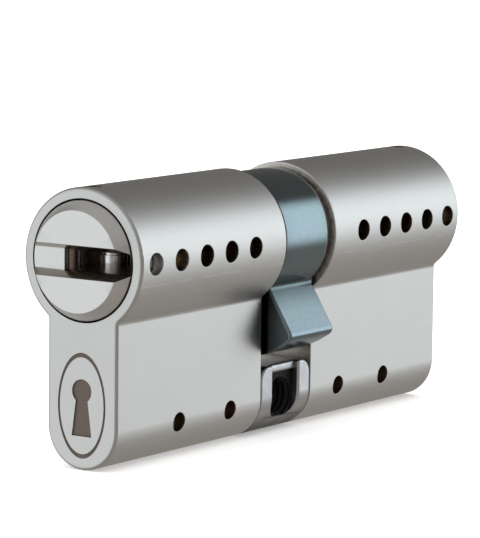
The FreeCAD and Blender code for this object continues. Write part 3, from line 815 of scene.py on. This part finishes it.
def on_skin(at):
    """Whether a place lies on the outside of the euro profile."""
    from_axis = math.hypot(at.x, at.z - AXIS_Z)
    return from_axis > BARREL_R - 0.15 * MM or abs(at.x) > FLAG_HALF - NEAR


class LOCK_OT_housing(Operator):
    """Build the two halves of the housing"""

    bl_idname = "lock.housing"
    bl_label = "Housing halves"

    def execute(self, context):
        for side in SIDES:
            body_half(side)
        return {"FINISHED"}


# ---- plugs ---------------------------------------------------------------------------------


def coupler_slot(start, end, name):
    """Solids of the keyed hole that a coupler slides through."""
    gap = sizes().running_gap
    bore_r = (COUPLER_HIGH[0] - COUPLER_LOW[0]) / 2 + gap
    reach = (COUPLER_HIGH[2] - COUPLER_LOW[2]) / 2 + gap
    tab_half = 1.3 * MM
    tab = tab_half + gap
    return [
        place(drum("Y", bore_r, start, end, (0, AXIS_Z), 48), name),
        place(slab((-tab, start, AXIS_Z - reach), (tab, end, AXIS_Z + reach)), name),
    ]


def plug(side):
    """A plug with its bevelled nose, slot, keyway and pin chambers."""
    size = sizes()
    # Bores and chambers are cut with the very dark bore finish, painted shade.
    nickel, bore_shade = finish("turned_nickel"), finish("bored_brass_in_shade")
    nose_y, end_y = PLUG_LOW[1], PLUG_HIGH[1]
    plug_r = HEAD_R - size.plug_step
    shoulder = FACE_Y + size.head_depth
    head_r = HEAD_R - size.head_trim
    groove_r = plug_r - 0.6 * MM
    groove_start, groove_end = CLIP_LOW[1] - 0.02 * MM, CLIP_HIGH[1] + 0.02 * MM
    face_r, end_chamfer = HEAD_R - size.nose_taper, 0.2 * MM
    nose = [(0, nose_y), (face_r - 0.08 * MM, nose_y), (face_r + 0.04 * MM, nose_y + 0.06 * MM)]
    head = [(head_r - 0.05 * MM, FACE_Y - 0.07 * MM), (head_r, FACE_Y + 0.05 * MM), (head_r, shoulder)]
    groove = [(plug_r, groove_start), (groove_r, groove_start), (groove_r, groove_end), (plug_r, groove_end)]
    tail = [(plug_r, end_y - end_chamfer), (plug_r - end_chamfer, end_y), (0, end_y)]
    points = nose + head + [(plug_r, shoulder)] + groove + tail
    body = place(turned(points, Vector((0, 1, 0)), AXIS, size.plug_steps), f"{side}_plug_fine", nickel)

    half, reach = size.keyway_half, HEAD_R + OVERCUT
    slot = slab((-reach, nose_y, AXIS_Z - half), (reach, FACE_Y, AXIS_Z + half))
    flare = size.slot_half / half
    for vert in slot.verts:
        if vert.co.y < (nose_y + FACE_Y) / 2:
            vert.co.z = AXIS_Z + (vert.co.z - AXIS_Z) * flare
            vert.co.y -= 0.001 * MM
    # The slot's flanks and the keyway get the darker milled finish, with painted shade.
    flank_shade = finish("milled_nickel_and_shade")
    slot_piece = place(slot, "cut", nickel, flank_shade)
    for polygon in slot_piece.data.polygons:
        polygon.material_index = 1 if abs(polygon.normal.z) > 0.5 else 0
    combine(body, [slot_piece])
    soften(body, 0.07 * MM, where=lambda at: at.y < FACE_Y - NEAR)

    coupler_pocket, side_pin_seat, side_nose_r = 5.1 * MM, 0.55 * MM, 0.75 * MM
    seat = end_y - coupler_pocket
    for right, start, end in (
        (size.keyway_head, FACE_Y - 0.1 * MM, shoulder),
        (reach, FACE_Y - 0.2 * MM, FACE_Y + size.mouth_depth),
        (size.keyway_right, shoulder - 0.1 * MM, seat + OVERCUT),
    ):
        way = slab((size.keyway_left, start, AXIS_Z - half), (right, end, AXIS_Z + half))
        combine(body, [place(way, "cut", flank_shade)])
    rod_hole = drum("Z", ROD_R + PRESS_GAP, AXIS_Z - reach, AXIS_Z + reach, (ROD_X, ROD_Y), 48)
    combine(body, [place(rod_hole, "cut", bore_shade)])
    combine(body, coupler_slot(seat, end_y + OVERCUT, "cut"))
    chamber_r, below = PIN_R + size.running_gap, AXIS_Z - plug_r - OVERCUT
    cuts = [drum("Z", chamber_r, below, AXIS_Z, (0, y), 48) for y in PIN_PLACES]
    floor = SIDE_PINS_HIGH[0] - side_pin_seat
    for y in SIDE_PLACES[1:]:
        cuts.append(drum("X", SIDE_HOLE_R, floor, plug_r + OVERCUT, (y, AXIS_Z), 32))
    combine(body, [place(cut, "cut", bore_shade) for cut in cuts])
    noses = [drum("X", side_nose_r, 0, plug_r, (y, AXIS_Z), 24) for y in SIDE_PLACES[1:]]
    combine(body, [place(cut, "cut", bore_shade) for cut in noses])
    if side == "inner":
        mirror_piece(body)
    return stand_for(body, f"{side}_plug", ((AXIS_Z, head_r),))


class LOCK_OT_plugs(Operator):
    """Build the two keyed plugs"""

    bl_idname = "lock.plugs"
    bl_label = "Plugs"

    def execute(self, context):
        for side in SIDES:
            plug(side)
        return {"FINISHED"}


# ---- cam -----------------------------------------------------------------------------------


def cam_solid():
    """Ring and lever in one outline, pushed along Y and turned to the lever's rest angle."""
    size = sizes()
    lean = math.radians(8.6)  # how far each flat of the lever opens towards its tip
    rest_angle = math.radians(67.0)  # below the horizontal, towards +X
    across = Vector((-math.sin(lean), 0, math.cos(lean)))
    along = Vector((math.cos(lean), 0, math.sin(lean)))
    tip = Vector((math.sqrt(size.tip_r ** 2 - size.tip_half ** 2), 0, size.tip_half))
    rise = across.dot(tip) + size.lever_fillet
    reach = math.sqrt((size.ring_r + size.lever_fillet) ** 2 - rise ** 2)
    centre = across * rise + along * reach
    root = math.atan2(centre.z, centre.x)
    start = Vector((0, -size.ring_half, 0))

    bm = bmesh.new()
    on_ring = centre * (size.ring_r / centre.length)
    point = bm.verts.new(start + on_ring)
    point = sweep_arc(bm, point, start, -(math.tau - 2 * root), 132)
    low_centre = start + Vector((centre.x, 0, -centre.z))
    point = sweep_arc(bm, point, low_centre, math.pi / 2 - root + lean, 8)
    low_tip = start + Vector((tip.x, 0, -tip.z))
    point = draw_line(bm, point, low_tip)
    spread = math.atan2(tip.z, tip.x)
    point = sweep_arc(bm, point, start, -2 * spread, 6)
    on_flat = start + centre - across * size.lever_fillet
    point = draw_line(bm, point, on_flat)
    sweep_arc(bm, point, start + centre, math.pi / 2 - root + lean, 8)
    fill_and_push(bm, 2 * size.ring_half)

    def at_tip(vert):
        return abs(abs(vert.co.z) - size.tip_half) < NEAR and vert.co.x > size.ring_r

    tips = [
        edge for edge in bm.edges
        if abs(edge.verts[0].co.y - edge.verts[1].co.y) > size.ring_half and all(map(at_tip, edge.verts))
    ]
    bevel(bm, tips, size.tip_round, 4)
    for face_y in (-1, 1):
        rim = [
            edge for edge in bm.edges
            if all(vert.co.y * face_y > size.ring_half - NEAR for vert in edge.verts)
        ]
        bevel(bm, rim, size.cam_round, 3)
    turn = Matrix.Translation(AXIS) @ Matrix.Rotation(rest_angle, 4, "Y")
    bmesh.ops.transform(bm, matrix=turn, verts=bm.verts)
    bmesh.ops.recalc_face_normals(bm, faces=bm.faces)
    return bm


class LOCK_OT_cam(Operator):
    """Build the cam with its lever"""

    bl_idname = "lock.cam"
    bl_label = "Cam"

    def execute(self, context):
        size = sizes()
        zinc = finish("blue_zinc")
        cam = place(cam_solid(), "cam_fine", zinc)
        end, recess = size.ring_half + OVERCUT, 0.25 * MM
        for radius, near in ((size.cam_bore, size.web_half), (size.clip_bore, size.ring_half - recess)):
            bores = [
                drum("Y", radius, start, stop, (0, AXIS_Z), 112)
                for start, stop in ((near, end), (-end, -near))
            ]
            combine(cam, [place(bore, "cut", zinc) for bore in bores])
        combine(cam, coupler_slot(-size.web_half - OVERCUT, size.web_half + OVERCUT, "cut"))
        # The rounded rim on the ring's +Y side gets a lighter finish: edge wear and a painted highlight where
        # that edge catches the light.
        cam.data.materials.append(finish("worn_edge_and_highlight"))
        edge_highlight_slot = len(cam.data.materials) - 1
        for polygon in cam.data.polygons:
            middle = polygon.center - AXIS
            rim = middle.y > size.ring_half - size.cam_round and abs(polygon.normal.y) < 0.95
            if rim and abs(math.hypot(middle.x, middle.z) - size.ring_r) < size.cam_round:
                polygon.material_index = edge_highlight_slot
        stand_for(cam, "cam")
        return {"FINISHED"}


# ---- bridge and screw insert ---------------------------------------------------------------


class LOCK_OT_bridge(Operator):
    """Build the windowed bridge and its bar"""

    bl_idname = "lock.bridge"
    bl_label = "Bridge"

    def execute(self, context):
        size = sizes()
        steel = finish("bright_steel")
        half = -GAP_Y - 0.05 * MM
        top = BRIDGE_HIGH[2]
        foot = profile_solid(-half, half)
        bridge = place(foot, "bridge_fine", steel)
        block = slab((-BARREL_R, -half, BRIDGE_LOW[2] - OVERCUT), (BARREL_R, half, top))
        shoulders = [
            edge for edge in block.edges
            if all(vert.co.z > top - NEAR for vert in edge.verts)
            and edge.verts[0].co.y == edge.verts[1].co.y
        ]
        bevel(block, shoulders, 1.8 * MM, 10)
        combine(bridge, [place(block, "keep", steel)], "INTERSECT")
        window_half, sill = 2.8 * MM, INSERT_LOW[2] + 0.4 * MM
        window = slab((-BARREL_R, -window_half, sill), (BARREL_R, window_half, top + OVERCUT))
        corners = [
            edge for edge in window.edges
            if edge.verts[0].co.yz == edge.verts[1].co.yz and edge.verts[0].co.z < 0
        ]
        bevel(window, corners, 1.9 * MM, 12)
        combine(bridge, [place(window, "cut", steel)])
        soften(bridge, size.bridge_round, angle=40, segments=3)
        proud, lip_half = 0.35 * MM, 3.2 * MM
        lip = slab(
            (INSERT_LOW[0] - proud, -lip_half, INSERT_HIGH[2] - 0.4 * MM),
            (INSERT_HIGH[0] + proud, lip_half, top - 0.05 * MM),
        )
        long_edges = [edge for edge in lip.edges if edge.verts[0].co.xz == edge.verts[1].co.xz]
        bevel(lip, long_edges, 0.33 * MM, 3)
        combine(bridge, [place(lip, "lip", steel)], "UNION")
        arm_half, arm_top = 2.2 * MM, CROSS_Z + 2.6 * MM
        for way in (-1, 1):
            near, far = sorted((way * 4 * MM, way * BRIDGE_HIGH[1]))
            arm = slab((-arm_half, near, CROSS_Z - arm_half), (arm_half, far, arm_top))
            combine(bridge, [place(arm, "arm", steel)], "UNION")
        holes = [
            drum("X", CROSS_R + PRESS_GAP, -FLAG_HALF, FLAG_HALF, (way * y, CROSS_Z), 32)
            for way in (-1, 1) for y in (CROSS_FAR, CROSS_NEAR)
        ]
        combine(bridge, [place(hole, "cut", steel) for hole in holes])
        stand_for(bridge, "bridge")
        return {"FINISHED"}


class LOCK_OT_screw_insert(Operator):
    """Build the insert with the fixing screw's thread"""

    bl_idname = "lock.screw_insert"
    bl_label = "Screw insert"

    def execute(self, context):
        size = sizes()
        black = finish("black_steel")
        block = slab((INSERT_LOW[0], INSERT_LOW[1], INSERT_LOW[2] + 0.45 * MM), INSERT_HIGH)
        corners = [edge for edge in block.edges if edge.verts[0].co.yz == edge.verts[1].co.yz]
        bevel(block, corners, 1.05 * MM, 8)
        insert = place(block, "screw_insert_fine", black)
        core_r = 2.1 * MM
        root_r = core_r + size.thread_depth
        end = INSERT_HIGH[0]
        combine(insert, [place(drum("X", root_r, -end - OVERCUT, end + OVERCUT, (0, 0), 48), "cut", black)])
        soften(insert, 0.12 * MM, segments=2)

        turns = math.floor(2 * (end - 0.3 * MM) / size.thread_pitch)
        ridge = bmesh.new()
        start = -turns * size.thread_pitch / 2
        crest = size.thread_pitch * 0.08
        foot = size.thread_pitch * 0.42
        buried_r = root_r + 0.03 * MM
        profile = [(buried_r, -foot), (core_r, -crest), (core_r, crest), (buried_r, foot)]
        corners = [ridge.verts.new((start + x, 0, radius)) for radius, x in profile]
        section = ridge.faces.new(corners)
        steps = 28
        bmesh.ops.spin(
            ridge, geom=[section], cent=(0, 0, 0), axis=(1, 0, 0), angle=math.tau * turns,
            steps=steps * turns, dvec=(size.thread_pitch / steps, 0, 0),
        )
        bmesh.ops.remove_doubles(ridge, verts=ridge.verts, dist=WELD)
        bmesh.ops.recalc_face_normals(ridge, faces=ridge.faces)
        bm = bmesh.new()
        bm.from_mesh(insert.data)
        whorl = bpy.data.meshes.new("thread")
        ridge.to_mesh(whorl)
        ridge.free()
        bm.from_mesh(whorl)
        bm.to_mesh(insert.data)
        bm.free()
        bpy.data.meshes.remove(whorl)
        stand_for(insert, "screw_insert")
        return {"FINISHED"}


# ---- pins and small hardware ---------------------------------------------------------------


def softened_copy(node, material, width):
    """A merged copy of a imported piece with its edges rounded."""
    bm = bmesh.new()
    bm.from_mesh(frame["nodes"][node].data)
    bmesh.ops.remove_doubles(bm, verts=bm.verts, dist=0.002 * MM)
    bmesh.ops.dissolve_limit(bm, angle_limit=math.radians(0.5), verts=bm.verts, edges=bm.edges)
    if width:
        limit = math.radians(35)
        sharp = [edge for edge in bm.edges if len(edge.link_faces) == 2 and edge.calc_face_angle(0) > limit]
        bevel(bm, sharp, width, 2, clamp=True)
    for face in bm.faces:
        face.material_index = 0
    piece = place(bm, f"{node}_fine", material)
    return stand_for(piece, node)


def key_pin(side, number):
    """A polished hollow key pin with a ring groove and a fine line near its foot."""
    low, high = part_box(f"{side}_key_pin_{number}")
    y = (low[1] + high[1]) / 2
    top, foot = high[2], low[2]
    core_r = 0.95 * MM
    bore_floor = top - 3.6 * MM
    edge, groove = 0.08 * MM, 0.17 * MM
    cone = [
        (0, foot), (0.88 * MM, foot), (0.94 * MM, foot + 0.03 * MM),
        (PIN_R - 0.05 * MM, foot + 0.7 * MM), (PIN_R, foot + 0.82 * MM),
    ]
    foot_line = [
        (PIN_R, foot + 1.6 * MM), (PIN_R - edge, foot + 1.63 * MM),
        (PIN_R - edge, foot + 1.7 * MM), (PIN_R, foot + 1.73 * MM),
    ]
    fine_line = [
        (PIN_R, top - 1.95 * MM), (PIN_R - 0.03 * MM, top - 1.93 * MM),
        (PIN_R - 0.03 * MM, top - 1.89 * MM), (PIN_R, top - 1.87 * MM),
    ]
    ring_groove = [
        (PIN_R, top - 0.92 * MM), (PIN_R - groove, top - 0.86 * MM),
        (PIN_R - groove, top - 0.66 * MM), (PIN_R, top - 0.6 * MM),
    ]
    rim = [
        (PIN_R, top - 0.34 * MM), (PIN_R - edge, top - 0.27 * MM),
        (PIN_R - 0.28 * MM, top - 0.03 * MM), (PIN_R - 0.36 * MM, top),
    ]
    bore = [(core_r + 0.05 * MM, top), (core_r, top - 0.05 * MM), (core_r, bore_floor), (0, bore_floor)]
    points = cone + foot_line + fine_line + ring_groove + rim + bore
    bm = turned(points, Vector((0, 0, 1)), Vector((0, y, 0)), 56)
    piece = place(bm, f"{side}_key_pin_{number}_fine", finish("nickel_silver"))
    return stand_for(piece, f"{side}_key_pin_{number}")


def driver_springs(side):
    """The springs under the driver pins."""
    node, joint = f"{side}_driver_springs", f"{side}_driver_pin_1_slide"
    springs = softened_copy(node, finish("drawn_steel"), 0)
    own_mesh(springs)


class LOCK_OT_pins(Operator):
    """Build the key pins, their cores, the driver pins and the side pins"""

    bl_idname = "lock.pins"
    bl_label = "Pins"

    def execute(self, context):
        brass = finish("turned_brass")
        for side in SIDES:
            for number in PIN_NUMBERS:
                key_pin(side, number)
                softened_copy(f"{side}_key_pin_core_{number}", brass, 0.06 * MM)
                softened_copy(f"{side}_driver_pin_{number}", brass, 0.06 * MM)
            softened_copy(f"{side}_side_pins", brass, 0.06 * MM)
        return {"FINISHED"}


class LOCK_OT_hardware(Operator):
    """Finish the circlips, couplers, springs, rods, slugs and cross pins"""

    bl_idname = "lock.hardware"
    bl_label = "Small hardware"

    def execute(self, context):
        softened_copy("cross_pins", finish("tempered_steel"), 0.12 * MM)
        for side in SIDES:
            softened_copy(f"{side}_circlip", finish("spring_steel"), 0.08 * MM)
            softened_copy(f"{side}_coupler", finish("sintered_steel"), 0.15 * MM)
            # The head pin is darkened as painted shade in its hole.
            softened_copy(f"{side}_head_pin", finish("tempered_steel_in_shade"), 0.1 * MM)
            softened_copy(f"{side}_anti_drill_rod", finish("tempered_steel"), 0.15 * MM)
            driver_springs(side)
        return {"FINISHED"}


# ---- stage ---------------------------------------------------------------------------------


def glow(tree, direction, near, far, level):
    """How much of one broad soft light a direction sees, from level at its middle to 0 outside it."""
    where = tree.nodes.new("ShaderNodeTexCoord")
    dot = tree.nodes.new("ShaderNodeVectorMath")
    dot.operation = "DOT_PRODUCT"
    dot.inputs[1].default_value = Vector(direction).normalized()
    tree.links.new(where.outputs["Generated"], dot.inputs[0])
    fade = tree.nodes.new("ShaderNodeMapRange")
    fade.interpolation_type = "SMOOTHSTEP"
    fade.inputs["From Min"].default_value = far
    fade.inputs["From Max"].default_value = near
    fade.inputs["To Max"].default_value = level
    tree.links.new(dot.outputs["Value"], fade.inputs["Value"])
    return fade.outputs["Result"]


def mixed(tree, amount, first, second):
    """Mixes two colours of the surround."""
    made = tree.nodes.new("ShaderNodeMix")
    made.data_type = "RGBA"
    tree.links.new(amount, made.inputs[0])
    for socket, value in ((made.inputs[6], first), (made.inputs[7], second)):
        if isinstance(value, bpy.types.NodeSocket):
            tree.links.new(value, socket)
        else:
            socket.default_value = (*value, 1)
    return made.outputs[2]


def surround(stage):
    """Two broad soft lights in a dim room, behind to the right and in front to the left."""
    world = bpy.data.worlds.new("Studio")
    world.use_nodes = True
    bpy.context.scene.world = world
    tree = world.node_tree
    tree.nodes.clear()
    lights = [
        glow(tree, (0.555, 0.82, 0.175), 0.975, 0.895, 1.0),
        glow(tree, (-0.60, -0.80, -0.05), 0.93, 0.55, 0.47),
    ]
    total = tree.nodes.new("ShaderNodeMath")
    total.operation = "MAXIMUM"
    for socket, value in zip(total.inputs, lights):
        tree.links.new(value, socket)
    rise = glow(tree, (0, 0, -1), 0.35, -0.25, 1.0)
    ahead = glow(tree, (0.1, -0.6, 0.8), 0.75, 0.05, 1.0)
    room = mixed(tree, ahead, tuple(stage.dim_high), tuple(stage.dim_front))
    room = mixed(tree, rise, room, tuple(stage.dim_low))
    light = (stage.bright * 0.93, stage.bright, stage.bright * 1.03)
    gloss = tree.nodes.new("ShaderNodeBackground")
    tree.links.new(mixed(tree, total.outputs[0], room, light), gloss.inputs["Color"])
    plain = tree.nodes.new("ShaderNodeBackground")
    plain.inputs["Color"].default_value = (1, 1, 1, 1)
    path = tree.nodes.new("ShaderNodeLightPath")
    mix = tree.nodes.new("ShaderNodeMixShader")
    tree.links.new(path.outputs["Is Camera Ray"], mix.inputs[0])
    tree.links.new(gloss.outputs[0], mix.inputs[1])
    tree.links.new(plain.outputs[0], mix.inputs[2])
    out = tree.nodes.new("ShaderNodeOutputWorld")
    tree.links.new(mix.outputs[0], out.inputs["Surface"])


def add_top_light(stage):
    """A broad light from above that falls on the floor only."""
    data = bpy.data.lights.new("Overhead", "SUN")
    data.energy = stage.top_light
    data.angle = math.radians(120)
    light = bpy.data.objects.new("Overhead", data)
    light.location = (0, 0, 1)
    light.visible_glossy = False
    bpy.context.scene.collection.objects.link(light)


def add_floor(stage):
    """A broad pale disc under the flag."""
    bm = bmesh.new()
    bmesh.ops.create_circle(bm, cap_ends=True, segments=96, radius=6.0)
    bmesh.ops.translate(bm, vec=(0, 0, BODY_LOW[2] - 0.02 * MM), verts=bm.verts)
    recipe = Recipe("pale_floor")
    recipe.shader.inputs["Roughness"].default_value = 0.9
    recipe.shader.inputs["Specular IOR Level"].default_value = 0.0
    recipe.shader.inputs["Base Color"].default_value = (*stage.floor, 1)
    recipe.shader.inputs["Emission Color"].default_value = (1, 1, 1, 1)
    recipe.shader.inputs["Emission Strength"].default_value = 0.35
    floor = place(bm, "floor", recipe.material)
    floor.visible_glossy = False


def add_camera(stage):
    """A long lens that looks along the barrel from the front right."""
    data = bpy.data.cameras.new("Camera")
    data.lens = stage.lens
    data.clip_start = 0.01
    camera = bpy.data.objects.new("Camera", data)
    camera.location = stage.camera_at
    camera.rotation_euler = stage.camera_turn
    bpy.context.scene.collection.objects.link(camera)
    bpy.context.scene.camera = camera


class LOCK_OT_stage(Operator):
    """Add the floor, the lights and the camera"""

    bl_idname = "lock.stage"
    bl_label = "Stage"

    def execute(self, context):
        stage = context.scene.cylinder_stage
        surround(stage)
        add_top_light(stage)
        add_floor(stage)
        add_camera(stage)
        context.scene.view_settings.view_transform = "Standard"
        return {"FINISHED"}


# ---- registration --------------------------------------------------------------------------


class LOCK_PT_cylinder(Panel):
    """Lists the lock cylinder's pieces"""

    bl_idname = "LOCK_PT_cylinder"
    bl_label = "Lock cylinder"
    bl_space_type = "VIEW_3D"
    bl_region_type = "UI"
    bl_category = "Lock cylinder"

    def draw(self, context):
        for operator in OPERATORS:
            self.layout.operator(operator.bl_idname)
        for group_name in GROUPS:
            group, box = getattr(context.scene, group_name), self.layout.box()
            for name in group.bl_rna.properties.keys():
                if name not in ("rna_type", "name"):
                    box.prop(group, name)


OPERATORS = (
    LOCK_OT_housing,
    LOCK_OT_plugs,
    LOCK_OT_cam,
    LOCK_OT_bridge,
    LOCK_OT_screw_insert,
    LOCK_OT_pins,
    LOCK_OT_hardware,
    LOCK_OT_stage,
)
GROUPS = {
    "cylinder_sizes": CylinderSizes,
    "cylinder_finishes": CylinderFinishes,
    "cylinder_stage": CylinderStage,
}


def register():
    """Adds the settings, operators and panel."""
    for group in GROUPS.values():
        bpy.utils.register_class(group)
    for name, group in GROUPS.items():
        setattr(bpy.types.Scene, name, PointerProperty(type=group))
    for operator in OPERATORS:
        bpy.utils.register_class(operator)
    bpy.utils.register_class(LOCK_PT_cylinder)


def unregister():
    """Takes them away again."""
    bpy.utils.unregister_class(LOCK_PT_cylinder)
    for operator in reversed(OPERATORS):
        bpy.utils.unregister_class(operator)
    for name, group in GROUPS.items():
        delattr(bpy.types.Scene, name)
        bpy.utils.unregister_class(group)


def main():
    """Builds every piece and the stage."""
    register()
    bpy.ops.lock.housing()
    bpy.ops.lock.plugs()
    bpy.ops.lock.cam()
    bpy.ops.lock.bridge()
    bpy.ops.lock.screw_insert()
    bpy.ops.lock.pins()
    bpy.ops.lock.hardware()
    bpy.ops.lock.stage()


if __name__ == "__main__":
    main()
